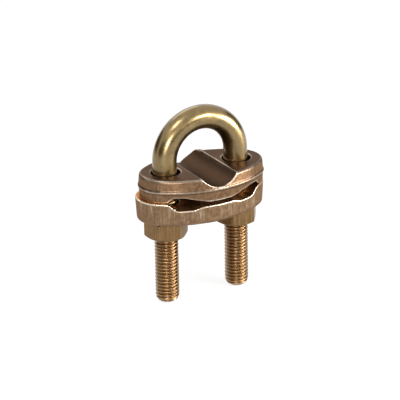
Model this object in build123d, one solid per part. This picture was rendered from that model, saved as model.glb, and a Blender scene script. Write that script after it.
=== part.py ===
from build123d import *
import math
import os

# Earth rod clamp, U-bolt pattern: one bent bar, two cast plates stacked on its legs, two hex nuts.
# Millimetres. Origin at the centre of the bend, on the axis of the gripped rod. +Z is up to the crown,
# X runs from leg to leg, Y runs along the rod.

# U-bolt
bar_dia = 10.0
leg_spacing = 33.0
leg_length = 61.0
tip_round = 3.6

# Both cast plates, seen from above: a long oval, two flank arcs blending into two round ends
plate_width = 33.8
end_radius = 11.7
hole_dia = 12.0

# Saddle plate, the upper one
saddle_length = 55.3
saddle_offset_x = 0.4
saddle_top_z = -4.0
saddle_wall_height = 5.3
groove_radius = 9.7
groove_depth = 4.3
tongue_radius = 6.5
tongue_x = 4.8
tongue_reach = 20.0
tongue_round = 1.5
tongue_sink = 0.45
tongue_drop = 1.1
belly_drop = 4.8
belly_half = 5.5
arch_drop = 2.3
arch_inner = 15.5
arch_outer = 19.4
saddle_pad_inner = 21.4
saddle_pad_drop = 4.5
arch_blend = 2.2
wall_draft = 4.0
flash_width = 0.9
flash_proud = 0.3

# Keeper plate, the lower one
keeper_length = 57.0
keeper_offset_x = -0.4
keeper_pad_thick = 9.9
keeper_pad_inner = 20.6
channel_depth = 3.1
channel_outer = 17.6
channel_inner = 11.0
land_half = 7.0
land_drop = 2.0
channel_blend = 3.0
keeper_draft = 3.0

# Rounding left on the castings
top_round = 1.3
bottom_round = 1.6
hole_round = 0.4

# Nuts
nut_across_flats = 16.0
nut_height = 8.0
nut_bore_clearance = 0.05
nut_chamfer_angle = 30.0
nut_bore_chamfer = 0.7
nut_left_turn = 14.3
nut_right_turn = 25.0

# Derived levels
groove_half = math.sqrt(groove_radius ** 2 - (groove_radius - groove_depth) ** 2)
leg_x = leg_spacing / 2
parting_z = saddle_top_z - saddle_wall_height
seat_z = parting_z - saddle_pad_drop
keeper_bottom_z = seat_z - keeper_pad_thick
tall = 4 * leg_length


def ovalFace(length, width, radius, plane):
    """The plan outline: flank arcs tangent to the two end arcs."""
    endCentre = length / 2 - radius
    half = width / 2
    flank = (endCentre ** 2 + half ** 2 - radius ** 2) / (2 * (half - radius))
    turn = math.atan2(endCentre, flank - half)
    joinX = flank * math.sin(turn)
    joinY = flank * math.cos(turn) - (flank - half)
    with BuildSketch(plane) as plan:
        with BuildLine():
            ThreePointArc((joinX, joinY), (0, half), (-joinX, joinY))
            ThreePointArc((-joinX, joinY), (-length / 2, 0), (-joinX, -joinY))
            ThreePointArc((-joinX, -joinY), (0, -half), (joinX, -joinY))
            ThreePointArc((joinX, -joinY), (length / 2, 0), (joinX, joinY))
        make_face()
    return plan.sketch


def mirrored(halfPoints):
    """A half profile, written from the end inwards, carried on to the other end."""
    return halfPoints + [(-x, z) for x, z in reversed(halfPoints)]


def ovalWall(length, startZ, endZ, draft):
    """An oval prism whose wall leans in by the draft angle from startZ to endZ."""
    facing = 1 if endZ > startZ else -1
    plane = Plane(origin=(0, 0, startZ), x_dir=(1, 0, 0), z_dir=(0, 0, facing))
    foot = ovalFace(length, plate_width, end_radius, plane)
    return extrude(foot, amount=abs(endZ - startZ), taper=draft)


def alongY(face):
    return extrude(face, amount=plate_width + tongue_reach, both=True)


def clearanceHoles(offsetX, faceZ, outward):
    """The two bolt holes, flared a little where they meet the outer face."""
    radius = hole_dia / 2
    drill = Cylinder(radius, tall)
    flare = Cone(radius, radius + 2 * hole_round, 2 * hole_round)
    if outward < 0:
        flare = Rot(180, 0, 0) * flare
    drill = drill + Pos(0, 0, faceZ) * flare
    return [Pos(offsetX + side * leg_x, 0, 0) * drill for side in (-1, 1)]


def buildUBolt():
    bow = Rot(90, 0, 0) * Torus(leg_x, bar_dia / 2)
    bow = bow & Pos(0, 0, leg_spacing / 2) * Box(2 * leg_spacing, leg_spacing, leg_spacing)
    tipCentreZ = -leg_length + tip_round
    with BuildSketch(Plane.XZ) as legHalf:
        with BuildLine():
            Line((0, 0), (bar_dia / 2, 0))
            Line((bar_dia / 2, 0), (bar_dia / 2, tipCentreZ))
            CenterArc((bar_dia / 2 - tip_round, tipCentreZ), tip_round, 0, -90)
            Line((bar_dia / 2 - tip_round, -leg_length), (0, -leg_length))
            Line((0, -leg_length), (0, 0))
        make_face()
    leg = revolve(legHalf.sketch, axis=Axis.Z)
    bolt = bow
    for side in (-1, 1):
        bolt = bolt + Pos(side * leg_x, 0, 0) * leg
    return bolt.clean()


def buildSaddlePlate():
    reach = saddle_length / 2 + flash_proud + top_round
    bellyZ = parting_z - belly_drop
    archZ = parting_z - arch_drop
    under = mirrored([
        (reach, seat_z),
        (saddle_pad_inner, seat_z),
        (arch_outer, archZ),
        (arch_inner, archZ),
        (belly_half, bellyZ),
    ])
    with BuildSketch(Plane.XZ) as section:
        with BuildLine():
            FilletPolyline(*under, radius=arch_blend)
            Line((-reach, seat_z), (-reach, saddle_top_z))
            Line((-reach, saddle_top_z), (-groove_half, saddle_top_z))
            ThreePointArc(
                (-groove_half, saddle_top_z),
                (0, saddle_top_z - groove_depth),
                (groove_half, saddle_top_z),
            )
            Line((groove_half, saddle_top_z), (reach, saddle_top_z))
            Line((reach, saddle_top_z), (reach, seat_z))
        make_face()
    # the wall leans in both ways from the parting line of the mould
    upper = ovalWall(saddle_length, parting_z, saddle_top_z, wall_draft)
    upper = fillet(upper.faces().sort_by(Axis.Z)[-1].edges(), top_round)
    lowest = min(bellyZ, seat_z)
    lower = ovalWall(saddle_length, parting_z, lowest, wall_draft)
    wall = upper + lower
    flashPlane = Plane.XY.offset(parting_z - flash_width / 2)
    flash = ovalFace(
        saddle_length + 2 * flash_proud,
        plate_width + 2 * flash_proud,
        end_radius + flash_proud,
        flashPlane,
    )
    wall = wall + extrude(flash, amount=flash_width)
    # a short tongue carries the groove on past the back rim
    tongueHeight = saddle_wall_height - tongue_sink + tongue_drop
    tongue = Cylinder(tongue_radius, tongueHeight)
    tongue = fillet(tongue.faces().sort_by(Axis.Z)[-1].edges(), tongue_round)
    tongueY = tongue_reach - tongue_radius
    wall = wall + Pos(tongue_x, tongueY, parting_z - tongue_drop + tongueHeight / 2) * tongue
    plate = wall & alongY(section.sketch)
    plate = Pos(saddle_offset_x, 0, 0) * plate
    for hole in clearanceHoles(saddle_offset_x, saddle_top_z, 1):
        plate = plate - hole
    return plate


def buildKeeperPlate():
    reach = keeper_length / 2 + bottom_round
    over = mirrored([
        (reach, seat_z),
        (keeper_pad_inner, seat_z),
        (channel_outer, seat_z - channel_depth),
        (channel_inner, seat_z - channel_depth),
        (land_half, seat_z - land_drop),
    ])
    with BuildSketch(Plane.XZ) as section:
        with BuildLine():
            FilletPolyline(*over, radius=channel_blend)
            Line((-reach, seat_z), (-reach, keeper_bottom_z))
            Line((-reach, keeper_bottom_z), (reach, keeper_bottom_z))
            Line((reach, keeper_bottom_z), (reach, seat_z))
        make_face()
    wall = ovalWall(keeper_length, seat_z, keeper_bottom_z, keeper_draft)
    wall = fillet(wall.faces().sort_by(Axis.Z)[0].edges(), bottom_round)
    plate = wall & alongY(section.sketch)
    plate = Pos(keeper_offset_x, 0, 0) * plate
    for hole in clearanceHoles(keeper_offset_x, keeper_bottom_z, -1):
        plate = plate - hole
    return plate


def buildNut(turn):
    """A hex nut with both faces chamfered to a cone, top face on the keeper plate."""
    cornerRadius = nut_across_flats / 2 / math.cos(math.radians(30))
    drop = (cornerRadius - nut_across_flats / 2) * math.tan(math.radians(nut_chamfer_angle))
    prism = extrude(RegularPolygon(cornerRadius, 6), amount=-nut_height)
    faceRadius = nut_across_flats / 2
    with BuildSketch(Plane.XZ) as turned:
        with BuildLine():
            Polyline(
                (0, 0),
                (faceRadius, 0),
                (cornerRadius, -drop),
                (cornerRadius, -nut_height + drop),
                (faceRadius, -nut_height),
                (0, -nut_height),
                (0, 0),
            )
        make_face()
    nut = prism & revolve(turned.sketch, axis=Axis.Z)
    bore = bar_dia / 2 + nut_bore_clearance
    nut = nut - Cylinder(bore, 4 * nut_height)
    mouth = bore + nut_bore_chamfer
    for faceZ, top, bottom in ((0, mouth, bore), (-nut_height, bore, mouth)):
        inward = -nut_bore_chamfer / 2 if faceZ == 0 else nut_bore_chamfer / 2
        nut = nut - Pos(0, 0, faceZ + inward) * Cone(bottom, top, nut_bore_chamfer)
    return Rot(0, 0, turn) * nut


def main():
    parts = {
        "u_bolt": buildUBolt(),
        "saddle_plate": buildSaddlePlate(),
        "keeper_plate": buildKeeperPlate(),
        "nut_left": Pos(-leg_x, 0, keeper_bottom_z) * buildNut(nut_left_turn),
        "nut_right": Pos(leg_x, 0, keeper_bottom_z) * buildNut(nut_right_turn),
    }
    os.makedirs("parts", exist_ok=True)
    for name, shape in parts.items():
        export_step(shape, "parts/" + name + ".step")


main()
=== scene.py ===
import math

import bpy
import numpy as np
from mathutils import Matrix, Vector, noise


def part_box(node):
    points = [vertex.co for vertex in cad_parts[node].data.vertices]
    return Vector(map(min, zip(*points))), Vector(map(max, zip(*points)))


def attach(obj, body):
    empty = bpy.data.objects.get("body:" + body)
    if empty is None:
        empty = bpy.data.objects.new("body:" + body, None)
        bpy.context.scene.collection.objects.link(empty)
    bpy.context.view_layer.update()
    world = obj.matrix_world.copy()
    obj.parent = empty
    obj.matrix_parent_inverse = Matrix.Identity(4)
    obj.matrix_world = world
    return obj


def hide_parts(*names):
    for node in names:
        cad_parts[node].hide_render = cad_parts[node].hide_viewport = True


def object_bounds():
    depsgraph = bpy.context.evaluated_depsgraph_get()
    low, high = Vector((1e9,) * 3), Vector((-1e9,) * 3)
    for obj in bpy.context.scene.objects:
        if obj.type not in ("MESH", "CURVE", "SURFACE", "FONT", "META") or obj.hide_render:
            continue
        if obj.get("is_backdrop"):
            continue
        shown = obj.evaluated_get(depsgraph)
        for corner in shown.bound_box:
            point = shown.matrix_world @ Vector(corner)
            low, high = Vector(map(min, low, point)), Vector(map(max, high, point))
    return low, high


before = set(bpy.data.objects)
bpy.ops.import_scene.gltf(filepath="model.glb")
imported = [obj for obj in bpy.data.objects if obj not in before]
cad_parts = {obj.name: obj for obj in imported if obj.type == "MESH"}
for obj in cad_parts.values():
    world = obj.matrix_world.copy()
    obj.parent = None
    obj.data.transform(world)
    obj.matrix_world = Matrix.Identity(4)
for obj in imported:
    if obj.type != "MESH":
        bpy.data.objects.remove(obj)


def writeBox(file, low, high):
    file["low"] = list(low)
    file["high"] = list(high)


sizes = {"cad": {}, "shown": {}}
writeBox(sizes["cad"], *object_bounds())
print("frame loaded:", ", ".join(sorted(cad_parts)))

mm = 0.001


# small helpers for the materials
def newMaterial(name):
    material = bpy.data.materials.new(name)
    material.use_nodes = True
    tree = material.node_tree
    tree.nodes.clear()
    shader = tree.nodes.new("ShaderNodeBsdfPrincipled")
    output = tree.nodes.new("ShaderNodeOutputMaterial")
    tree.links.new(shader.outputs[0], output.inputs[0])
    return material, tree, shader


def place(tree, stretch):
    where = tree.nodes.new("ShaderNodeTexCoord")
    mapping = tree.nodes.new("ShaderNodeMapping")
    mapping.inputs["Scale"].default_value = stretch
    tree.links.new(where.outputs["Object"], mapping.inputs["Vector"])
    return mapping.outputs["Vector"]


def cloud(tree, vector, scale, detail=3.0, roughness=0.55):
    node = tree.nodes.new("ShaderNodeTexNoise")
    node.inputs["Scale"].default_value = scale
    node.inputs["Detail"].default_value = detail
    node.inputs["Roughness"].default_value = roughness
    tree.links.new(vector, node.inputs["Vector"])
    return node.outputs["Fac"]


def ramp(tree, source, stops):
    node = tree.nodes.new("ShaderNodeValToRGB")
    points = node.color_ramp.elements
    while len(points) < len(stops):
        points.new(0.5)
    for point, (position, colour) in zip(points, stops):
        point.position = position
        point.color = (*colour, 1.0) if len(colour) == 3 else (colour[0],) * 3 + (1.0,)
    tree.links.new(source, node.inputs["Fac"])
    return node.outputs["Color"]


def mix(tree, share, first, second, how="MIX"):
    node = tree.nodes.new("ShaderNodeMix")
    node.data_type = "RGBA"
    node.blend_type = how
    sockets = (node.inputs[0], node.inputs[6], node.inputs[7])
    for value, socket in zip((share, first, second), sockets):
        if isinstance(value, bpy.types.NodeSocket):
            tree.links.new(value, socket)
        elif isinstance(value, (int, float)):
            socket.default_value = value
        else:
            socket.default_value = (*value, 1.0)
    return node.outputs[2]


def bump(tree, shader, layers):
    normal = None
    for height, strength, distance in layers:
        node = tree.nodes.new("ShaderNodeBump")
        node.inputs["Strength"].default_value = strength
        node.inputs["Distance"].default_value = distance
        tree.links.new(height, node.inputs["Height"])
        if normal is not None:
            tree.links.new(normal, node.inputs["Normal"])
        normal = node.outputs["Normal"]
    tree.links.new(normal, shader.inputs["Normal"])


def attribute(tree, name):
    node = tree.nodes.new("ShaderNodeAttribute")
    node.attribute_name = name
    return node.outputs["Fac"]


def meshObject(name, points, faces, material, smooth=True):
    mesh = bpy.data.meshes.new(name)
    mesh.from_pydata([tuple(p) for p in points], [], faces)
    mesh.validate()
    made = bpy.data.objects.new(name, mesh)
    bpy.context.collection.objects.link(made)
    mesh.materials.append(material)
    if smooth:
        mesh.polygons.foreach_set("use_smooth", [True] * len(mesh.polygons))
    mesh.update()
    return made


def setAttribute(made, name, values):
    layer = made.data.attributes.new(name, "FLOAT", "POINT")
    layer.data.foreach_set("value", np.asarray(values, np.float32))


# the bow: drawn bar under a lacquer coat, the threads in a colour of their own
barBrass = {
    "bright": (0.26, 0.178, 0.070),
    "olive": (0.19, 0.132, 0.053),
    "threadGold": (0.36, 0.205, 0.07),
    # darker colour for the thread roots: painted shade
    "threadRootShade": (0.16, 0.08, 0.025),
    "roughLow": 0.25,
    "roughHigh": 0.33,
    "lacquer": 0.7,
    "lacquerRough": 0.16,
    "blotchScale": 260,
    "fineScale": 2600,
    "drawnScale": 3500,
}


def makeBarBrass():
    s = barBrass
    material, tree, shader = newMaterial("satin drawn brass")
    even = place(tree, (1, 1, 1))
    drawn = place(tree, (1, 1, 0.06))
    blotch = cloud(tree, even, s["blotchScale"], 4, 0.6)
    fine = cloud(tree, even, s["fineScale"], 2, 0.5)
    lines = cloud(tree, drawn, s["drawnScale"], 2, 0.5)
    colour = ramp(tree, blotch, [(0.35, s["olive"]), (0.65, s["bright"])])
    threaded = attribute(tree, "threaded")
    depth = attribute(tree, "rootDepth")
    # gold on the thread crests, darker towards the roots: painted shade in the thread roots
    threadToneRootShade = ramp(tree, depth, [(0.15, s["threadGold"]), (0.9, s["threadRootShade"])])
    colour = mix(tree, threaded, colour, threadToneRootShade)
    tree.links.new(colour, shader.inputs["Base Color"])
    rough = ramp(tree, blotch, [(0.3, (s["roughLow"],)), (0.7, (s["roughHigh"],))])
    tree.links.new(rough, shader.inputs["Roughness"])
    shader.inputs["Metallic"].default_value = 1.0
    shader.inputs["Coat Weight"].default_value = s["lacquer"]
    shader.inputs["Coat Roughness"].default_value = s["lacquerRough"]
    bump(tree, shader, [(fine, 0.05, 0.00002), (lines, 0.05, 0.00002)])
    return material


barMaterial = makeBarBrass()


bow = {
    "pitch": 1.5 * mm,
    "threadTop": -19.0 * mm,
    "runOut": 4.0 * mm,
    "rootDepth": 0.86 * mm,
    "round": 64,
    "stepsPerPitch": 10,
    "bendSteps": 96,
    "tipRound": 3.6 * mm,
    "tipSteps": 30,
    "shankSteps": 10,
    "crestShare": 0.08,   # of the half pitch
    "flankShare": 0.68,
    "threadStart": 0.3,   # of a turn, opposite ways on the two legs
}


# 0 on the crest and 1 in the root: flat crest, straight flank, rounded root
def threadDepth(phase):
    s = bow
    distance = np.abs((phase % 1.0) - 0.5) * 2
    return np.clip((1 - s["crestShare"] - distance) / s["flankShare"], 0, 1) ** 0.9


def buildBow():
    s = bow
    low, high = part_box("u_bolt")
    radius = (high.y - low.y) / 2
    legX = (high.x - low.x) / 2 - radius
    tip = low.z
    turn = np.linspace(0, 2 * math.pi, s["round"], endpoint=False)
    # stations: centre, the two directions across the bar, height below the bend
    stations = []
    fineStep = s["pitch"] / s["stepsPerPitch"]
    fineTop = s["threadTop"] + s["runOut"]
    fine = int((fineTop - tip - s["tipRound"]) / fineStep)
    legZ = list(np.linspace(tip + s["tipRound"], fineTop, fine))
    tipAngles = np.linspace(0.02, math.pi / 2, s["tipSteps"])[:-1]
    domed = [tip + s["tipRound"] * (1 - math.cos(a)) for a in tipAngles]
    legZ = domed + legZ + list(np.linspace(fineTop, 0, s["shankSteps"])[1:])
    for z in legZ:
        stations.append((Vector((-legX, 0, z)), Vector((1, 0, 0)), z, -1))
    for angle in np.linspace(math.pi, 0, s["bendSteps"])[1:-1]:
        outward = Vector((math.cos(angle), 0, math.sin(angle)))
        stations.append((outward * legX, -outward, 1.0, 0))
    for z in reversed(legZ):
        stations.append((Vector((legX, 0, z)), Vector((-1, 0, 0)), z, 1))
    points, threaded, depths = [], [], []
    for centre, across, z, side in stations:
        reach = np.full(s["round"], radius)
        worn = np.zeros(s["round"])
        share = 0.0
        if side:
            angle = turn if side < 0 else math.pi - turn
            share = min(1.0, max(0.0, (fineTop - z) / s["runOut"]))
            phase = z / s["pitch"] - angle / (2 * math.pi) + s["threadStart"] * side
            worn = threadDepth(phase) * share
            reach = radius - s["rootDepth"] * worn
            rise = z - tip
            if rise < s["tipRound"]:
                dome = math.sqrt(max(0, s["tipRound"] ** 2 - (s["tipRound"] - rise) ** 2))
                inset = s["tipRound"] - dome
                reach = np.minimum(reach, radius - inset)
        for r, a, w in zip(reach, turn, worn):
            sideways = Vector((0, r * math.sin(a), 0))
            points.append(centre + across * (r * math.cos(a)) + sideways)
            threaded.append(share)
            depths.append(w)
    around = s["round"]
    faces = []
    for i in range(len(stations) - 1):
        for j in range(around):
            k = (j + 1) % around
            here, ahead = i * around, (i + 1) * around
            faces.append((here + j, here + k, ahead + k, ahead + j))
    last = (len(stations) - 1) * around
    faces.append(tuple(reversed(range(around))))
    faces.append(tuple(last + j for j in range(around)))
    made = meshObject("bow", points, faces, barMaterial)
    setAttribute(made, "threaded", threaded)
    setAttribute(made, "rootDepth", depths)
    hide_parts("u_bolt")
    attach(made, "bow")
    return radius, legX


barRadius, legX = buildBow()
print("bow and threads made")


# the two hex nuts
nutBrass = {
    "bright": (0.27, 0.16, 0.070),
    "dull": (0.15, 0.092, 0.043),
    "roughLow": 0.30,
    "roughHigh": 0.45,
    "blotchScale": 300,
    "lineScale": 1500,
    "blotchShare": 0.35,
}


def makeNutBrass():
    s = nutBrass
    material, tree, shader = newMaterial("machined nut brass")
    even = place(tree, (1, 1, 1))
    upright = place(tree, (1, 1, 0.05))
    blotch = cloud(tree, even, s["blotchScale"], 3, 0.5)
    lines = cloud(tree, upright, s["lineScale"], 3, 0.6)
    colour = ramp(tree, lines, [(0.38, s["dull"]), (0.62, s["bright"])])
    patchy = ramp(tree, blotch, [(0.3, s["dull"]), (0.7, s["bright"])])
    colour = mix(tree, s["blotchShare"], colour, patchy)
    tree.links.new(colour, shader.inputs["Base Color"])
    rough = ramp(tree, lines, [(0.3, (s["roughLow"],)), (0.7, (s["roughHigh"],))])
    tree.links.new(rough, shader.inputs["Roughness"])
    shader.inputs["Metallic"].default_value = 1.0
    bump(tree, shader, [(lines, 0.35, 0.00006)])
    return material


nutMaterial = makeNutBrass()

nuts = {
    "acrossFlats": 16.0 * mm,
    "chamferAngle": 30.0,
    "faceShare": 0.95,
    "edgeRound": 0.25 * mm,
    "boreMouth": 0.7 * mm,
    "boreGap": 0.05 * mm,
    "steps": 96,
    "bodies": {"nut_left": "left_nut", "nut_right": "right_nut"},
    "turn": {"nut_left": 14.3, "nut_right": 25.0},
}


def buildNut(node):
    s = nuts
    low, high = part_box(node)
    centre = (low + high) / 2
    apothem = s["acrossFlats"] / 2
    side = -1 if centre.x < 0 else 1
    slope = math.tan(math.radians(s["chamferAngle"]))
    faceRadius = apothem * s["faceShare"]
    bore = barRadius + s["boreGap"]
    mouth = bore + s["boreMouth"]
    points, faces = [], []
    angles = [2 * math.pi * i / s["steps"] for i in range(s["steps"])]
    for angle in angles:
        inHex = (angle + math.pi / 6) % (math.pi / 3) - math.pi / 6
        corner = apothem / math.cos(inHex)
        drop = (corner - faceRadius) * slope
        rim = [
            (bore, high.z - s["boreMouth"]),
            (mouth, high.z),
            (faceRadius, high.z),
            (corner, high.z - drop),
            (corner, low.z + drop),
            (faceRadius, low.z),
            (mouth, low.z),
            (bore, low.z + s["boreMouth"]),
        ]
        turned = angle + math.radians(s["turn"][node])
        for r, z in rim:
            points.append((side * legX + r * math.cos(turned), r * math.sin(turned), z))
    rings = len(rim)
    for i in range(s["steps"]):
        for j in range(rings):
            a, b = i * rings, ((i + 1) % s["steps"]) * rings
            k = (j + 1) % rings
            faces.append((a + j, a + k, b + k, b + j))
    made = meshObject(node + "_brass", points, faces, nutMaterial)
    rounding = made.modifiers.new("edge round", "BEVEL")
    rounding.width = s["edgeRound"]
    rounding.segments = 2
    rounding.limit_method = "ANGLE"
    rounding.angle_limit = math.radians(22)
    sharp = made.modifiers.new("flats", "WEIGHTED_NORMAL")
    sharp.keep_sharp = False
    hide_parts(node)
    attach(made, s["bodies"][node])


for nodeName in nuts["bodies"]:
    buildNut(nodeName)
print("nuts made")


# the two plates: sand-cast skin, sharp edges worn round
castBronze = {
    "saddle_plate": {
        "body": "saddle",
        "slot": "cast_bronze_upper",
        "brown": (0.082, 0.051, 0.034),
        "pale": (0.13, 0.083, 0.057),
        # lighter colour for the side walls than for the top: painted light
        "wallPaintedLight": (0.225, 0.130, 0.068),
        "edge": (0.92, 0.80, 0.66),
        "dark": (0.10, 0.058, 0.034),
        "innerAndGlow": (0.065, 0.038, 0.023),
        "voxel": 0.28 * mm,
        "soften": 3,
        "wander": 0.11 * mm,
        "sand": 0.028 * mm,
        "seed": 3.1,
        "roughLow": 0.28,
        "roughHigh": 0.46,
        "streaks": 0.08,
    },
    "keeper_plate": {
        "body": "keeper",
        "slot": "cast_bronze_lower",
        "brown": (0.15, 0.085, 0.045),
        "pale": (0.23, 0.14, 0.08),
        # lighter colour for the side walls than for the top: painted light
        "wallPaintedLight": (0.26, 0.160, 0.086),
        "edge": (0.92, 0.80, 0.64),
        "dark": (0.14, 0.07, 0.032),
        # bright orange on the covered top face: a painted reflection of the threads
        "innerAndGlow": (0.62, 0.30, 0.12),
        "voxel": 0.28 * mm,
        "soften": 3,
        "wander": 0.10 * mm,
        "sand": 0.022 * mm,
        "seed": 8.4,
        "roughLow": 0.28,
        "roughHigh": 0.46,
        "streaks": 0.30,
    },
}


castGrain = {
    "sand": 1900,
    "grains": 700,
    "patches": 90,
    "streaks": 1100,
    "wornRough": 0.24,
    "edgeTint": (0.66, 0.59, 0.55, 1),   # how the metal reflects at a low angle
}


def makeCastBronze(name, s):
    material, tree, shader = newMaterial("cast bronze " + name)
    even = place(tree, (1, 1, 1))
    upright = place(tree, (1, 1, 0.06))
    sand = cloud(tree, even, castGrain["sand"], 3, 0.65)
    grains = cloud(tree, even, castGrain["grains"], 4, 0.6)
    patches = cloud(tree, even, castGrain["patches"], 4, 0.6)
    streaks = cloud(tree, upright, castGrain["streaks"], 3, 0.6)
    colour = ramp(tree, patches, [(0.32, s["brown"]), (0.68, s["pale"])])
    speckle = ramp(tree, grains, [(0.36, s["brown"]), (0.62, s["pale"])])
    colour = mix(tree, 0.45, colour, speckle)
    rim = attribute(tree, "rim")
    # the side walls are coloured lighter than the tops: painted light; the vertical scoring
    # laid on them below is real
    wallPaintedLightLow = [c * 0.62 for c in s["wallPaintedLight"]]
    wallPaintedLightTone = ramp(tree, grains, [(0.30, wallPaintedLightLow), (0.66, s["wallPaintedLight"])])
    colour = mix(tree, rim, colour, wallPaintedLightTone)
    lines = ramp(tree, streaks, [(0.5, (0.0,)), (0.68, (s["streaks"],))])
    scored = mix(tree, rim, (0.0, 0.0, 0.0), lines)
    gaps = ramp(tree, patches, [(0.42, (0.2,)), (0.6, (1.0,))])
    scored = mix(tree, 1.0, scored, gaps, "MULTIPLY")
    colour = mix(tree, scored, colour, s["edge"])
    # the keeper's covered face gets a bright orange painted reflection of the threads; the
    # saddle's groove floor gets a darker tone
    innerShade = [c * 0.7 for c in s["innerAndGlow"]]
    innerAndGlowTone = ramp(tree, grains, [(0.3, innerShade), (0.7, s["innerAndGlow"])])
    colour = mix(tree, attribute(tree, "innerAndGlow"), colour, innerAndGlowTone)
    hollow = attribute(tree, "hollow")
    colour = mix(tree, hollow, colour, s["dark"])
    wear = attribute(tree, "wear")
    broken = ramp(tree, patches, [(0.40, (0.45,)), (0.56, (1.0,))])
    worn = mix(tree, 1.0, wear, broken, "MULTIPLY")
    colour = mix(tree, worn, colour, s["edge"])
    tree.links.new(colour, shader.inputs["Base Color"])
    rough = ramp(tree, grains, [(0.3, (s["roughLow"],)), (0.7, (s["roughHigh"],))])
    rough = mix(tree, worn, rough, (castGrain["wornRough"],) * 3)
    tree.links.new(rough, shader.inputs["Roughness"])
    shader.inputs["Metallic"].default_value = 1.0
    shader.inputs["Specular Tint"].default_value = castGrain["edgeTint"]
    layers = [(grains, 0.35, 0.00010), (sand, 0.45, 0.00007), (streaks, 0.10, 0.00006)]
    bump(tree, shader, layers)
    return material


# a finer copy of the solid, with its edges softened
def castSkin(node, s):
    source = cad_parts[node]
    copy = source.copy()
    copy.data = source.data.copy()
    copy.name = node + "_source"
    bpy.context.collection.objects.link(copy)
    remesh = copy.modifiers.new("even grid", "REMESH")
    remesh.mode = "VOXEL"
    remesh.voxel_size = s["voxel"]
    smooth = copy.modifiers.new("worn edges", "SMOOTH")
    smooth.factor = 0.5
    smooth.iterations = s["soften"]
    bpy.context.view_layer.update()
    ready = copy.evaluated_get(bpy.context.evaluated_depsgraph_get())
    mesh = bpy.data.meshes.new_from_object(ready)
    bpy.data.objects.remove(copy)
    mesh.name = node + "_casting"
    made = bpy.data.objects.new(node + "_casting", mesh)
    bpy.context.collection.objects.link(made)
    return made


def vertexArrays(mesh):
    count = len(mesh.vertices)
    places = np.empty(count * 3, np.float32)
    mesh.vertices.foreach_get("co", places)
    normals = np.empty(count * 3, np.float32)
    mesh.vertices.foreach_get("normal", normals)
    edges = np.empty(len(mesh.edges) * 2, np.int32)
    mesh.edges.foreach_get("vertices", edges)
    return places.reshape(-1, 3), normals.reshape(-1, 3), edges.reshape(-1, 2)


# signed bend at each vertex: above 0 on outer edges, below 0 in hollows
def curvature(places, normals, edges, rounds):
    total = np.zeros(len(places))
    count = np.zeros(len(places))
    first, second = edges[:, 0], edges[:, 1]
    along = places[second] - places[first]
    length = np.maximum(np.linalg.norm(along, axis=1), 1e-9)
    bend = ((normals[second] - normals[first]) * along).sum(1) / length ** 2
    for ends in (first, second):
        np.add.at(total, ends, bend)
        np.add.at(count, ends, 1)
    value = total / np.maximum(count, 1)
    for _ in range(rounds):
        spread = value.copy()
        weight = np.ones(len(places))
        np.add.at(spread, first, value[second])
        np.add.at(spread, second, value[first])
        np.add.at(weight, first, 1)
        np.add.at(weight, second, 1)
        value = spread / weight
    return value


def buildCasting(node, s):
    made = castSkin(node, s)
    mesh = made.data
    places, normals, edges = vertexArrays(mesh)
    bend = curvature(places, normals, edges, 2)
    wear = np.clip((bend - 280) / 700, 0, 1)
    hollow = np.clip((-bend - 250) / 900, 0, 1)
    rim = np.clip(1.2 - np.abs(normals[:, 2]) * 2.5, 0, 1)
    top = places[:, 2].max()
    upward = np.clip((normals[:, 2] - 0.45) * 5, 0, 1)
    if node == "saddle_plate":   # the rod groove's floor, coloured darker than the top
        below = np.clip((top - 0.5 * mm - places[:, 2]) / (0.8 * mm), 0, 1)
        innerAndGlow = below * upward * (np.abs(places[:, 0]) < 10 * mm)
    else:   # the face that the upper plate keeps covered, coloured bright orange: a painted reflection of the threads
        innerAndGlow = upward
    moved = places.copy()
    for i, (p, n) in enumerate(zip(places, normals)):
        here = Vector((float(p[0]), float(p[1]), float(p[2])))
        spot = here * 1000 + Vector((s["seed"], 0, 0)) * 10
        slow = noise.noise(spot * 0.16)
        quick = noise.noise(spot * 1.9)
        push = s["wander"] * slow + s["sand"] * quick
        moved[i] = p + n * (push - s["wander"] * 0.35)
    mesh.vertices.foreach_set("co", moved.astype(np.float32).ravel())
    mesh.materials.clear()
    mesh.materials.append(makeCastBronze(node, s))
    mesh.polygons.foreach_set("use_smooth", [True] * len(mesh.polygons))
    mesh.update()
    setAttribute(made, "wear", wear)
    setAttribute(made, "hollow", hollow)
    setAttribute(made, "rim", rim)
    setAttribute(made, "innerAndGlow", innerAndGlow)
    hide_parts(node)
    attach(made, s["body"])
    print(node, "casting has", len(mesh.polygons), "faces")


for nodeName, settings in castBronze.items():
    buildCasting(nodeName, settings)


# floor, light and camera
studio = {
    "floorSize": 6.0,
    "floorColour": (0.90, 0.90, 0.90),
    "floorGlow": 0.75,
    "floorWhite": 1.14,
    "skyFill": 0.30,
    "lens": 171.9,
    "azimuth": -28.67,
    "elevation": 21.44,
    "roll": -1.02,
    "distance": 0.786,
    "target": (-0.0004, 0.0, -0.01964),
    "lights": [
        ("left front softbox", (-0.62, -0.95, 0.26), 0.30, 0.30, 6.5),
        ("right front softbox", (0.50, -0.92, 0.42), 0.38, 0.26, 6.5),
        ("key softbox", (-0.45, -0.30, 0.85), 0.30, 0.30, 3.0),
        ("right softbox", (0.66, -0.52, 0.06), 0.35, 0.30, 9.0),
        ("back softbox", (0.1, 0.8, 0.7), 0.7, 0.3, 1.2),
    ],
    "darkCards": [
        ((-0.85, -0.25, 0.00), 0.7, 0.8),
        ((-0.60, 0.75, 0.00), 0.9, 0.8),
        ((0.90, 0.05, 0.05), 0.6, 0.7),
        ((0.05, -1.05, 0.02), 1.3, 0.36),
    ],
}


def lookAt(made, target):
    made.rotation_mode = "QUATERNION"
    made.rotation_quaternion = (Vector(target) - made.location).to_track_quat("-Z", "Y")


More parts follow.
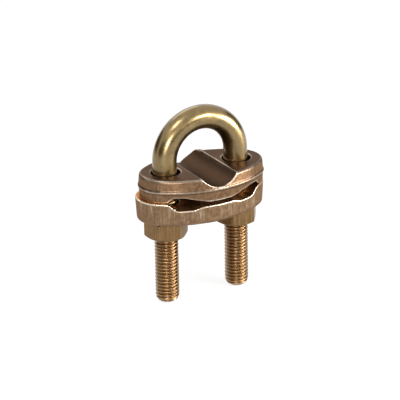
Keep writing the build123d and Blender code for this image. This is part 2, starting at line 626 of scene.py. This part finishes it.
# 1 for what the camera sees straight, in metal or through glass
def plainlySeen(tree):
    path = tree.nodes.new("ShaderNodeLightPath")
    seen = path.outputs["Is Camera Ray"]
    for ray in ("Is Glossy Ray", "Is Transmission Ray"):
        either = tree.nodes.new("ShaderNodeMath")
        either.operation = "MAXIMUM"
        tree.links.new(seen, either.inputs[0])
        tree.links.new(path.outputs[ray], either.inputs[1])
        seen = either.outputs[0]
    return seen


def buildStudio():
    s = studio
    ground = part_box("u_bolt")[0].z
    half = s["floorSize"] / 2
    material = bpy.data.materials.new("pale paper sweep")
    material.use_nodes = True
    tree = material.node_tree
    tree.nodes.clear()
    diffuse = tree.nodes.new("ShaderNodeBsdfDiffuse")
    diffuse.inputs["Color"].default_value = (*s["floorColour"], 1)
    glow = tree.nodes.new("ShaderNodeEmission")
    glow.inputs["Strength"].default_value = s["floorWhite"]
    level = tree.nodes.new("ShaderNodeMath")
    level.operation = "MULTIPLY"
    level.inputs[1].default_value = s["floorGlow"]
    tree.links.new(plainlySeen(tree), level.inputs[0])
    blend = tree.nodes.new("ShaderNodeMixShader")
    output = tree.nodes.new("ShaderNodeOutputMaterial")
    tree.links.new(level.outputs[0], blend.inputs[0])
    tree.links.new(diffuse.outputs[0], blend.inputs[1])
    tree.links.new(glow.outputs[0], blend.inputs[2])
    tree.links.new(blend.outputs[0], output.inputs[0])
    corners = [(x * half, y * half, ground) for x, y in ((-1, -1), (1, -1), (1, 1), (-1, 1))]
    floor = meshObject("paper_sweep", corners, [(0, 1, 2, 3)], material, smooth=False)
    floor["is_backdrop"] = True
    black = bpy.data.materials.new("black card")
    black.use_nodes = True
    cardShader = black.node_tree.nodes["Principled BSDF"]
    cardShader.inputs["Base Color"].default_value = (0.02, 0.018, 0.015, 1)
    cardShader.inputs["Roughness"].default_value = 0.9
    for number, (where, width, height) in enumerate(s["darkCards"]):
        w, h = width / 2, height / 2
        card = meshObject(
            "card_%d" % number,
            [(-w, -h, 0), (w, -h, 0), (w, h, 0), (-w, h, 0)],
            [(0, 1, 2, 3)],
            black,
            smooth=False,
        )
        card.location = where
        lookAt(card, (0, 0, -0.02))
        card.visible_camera = False
        card.visible_shadow = False
        card.visible_diffuse = False
        card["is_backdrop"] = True
    for name, where, width, height, power in s["lights"]:
        data = bpy.data.lights.new(name, "AREA")
        data.shape = "RECTANGLE"
        data.size = width
        data.size_y = height
        data.energy = power
        lamp = bpy.data.objects.new(name, data)
        bpy.context.collection.objects.link(lamp)
        lamp.location = where
        lookAt(lamp, (0, 0, -0.02))
    world = bpy.data.worlds.new("studio")
    bpy.context.scene.world = world
    world.use_nodes = True
    tree = world.node_tree
    tree.nodes.clear()
    strength = tree.nodes.new("ShaderNodeMath")
    strength.operation = "MULTIPLY_ADD"
    strength.inputs[1].default_value = 1.0 - s["skyFill"]
    strength.inputs[2].default_value = s["skyFill"]
    tree.links.new(plainlySeen(tree), strength.inputs[0])
    background = tree.nodes.new("ShaderNodeBackground")
    background.inputs["Color"].default_value = (1, 1, 1, 1)
    tree.links.new(strength.outputs[0], background.inputs["Strength"])
    output = tree.nodes.new("ShaderNodeOutputWorld")
    tree.links.new(background.outputs[0], output.inputs[0])


def buildCamera():
    s = studio
    angles = (math.radians(s[k]) for k in ("azimuth", "elevation", "roll"))
    azimuth, elevation, roll = angles
    back = Vector((
        math.sin(azimuth) * math.cos(elevation),
        -math.cos(azimuth) * math.cos(elevation),
        math.sin(elevation),
    ))
    right = (-back).cross(Vector((0, 0, 1))).normalized()
    up = right.cross(-back)
    leanRight = right * math.cos(roll) + up * math.sin(roll)
    leanUp = up * math.cos(roll) - right * math.sin(roll)
    data = bpy.data.cameras.new("camera")
    data.lens = s["lens"]
    data.sensor_width = 36
    data.clip_start = 0.05
    data.clip_end = 50
    camera = bpy.data.objects.new("camera", data)
    bpy.context.collection.objects.link(camera)
    stand = [aim + way * s["distance"] for aim, way in zip(s["target"], back)]
    camera.matrix_world = Matrix((
        (leanRight.x, leanUp.x, back.x, stand[0]),
        (leanRight.y, leanUp.y, back.y, stand[1]),
        (leanRight.z, leanUp.z, back.z, stand[2]),
        (0, 0, 0, 1),
    ))
    bpy.context.scene.camera = camera


buildStudio()
buildCamera()
bpy.context.scene.view_settings.view_transform = "Standard"
print("studio and camera ready")

writeBox(sizes["shown"], *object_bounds())
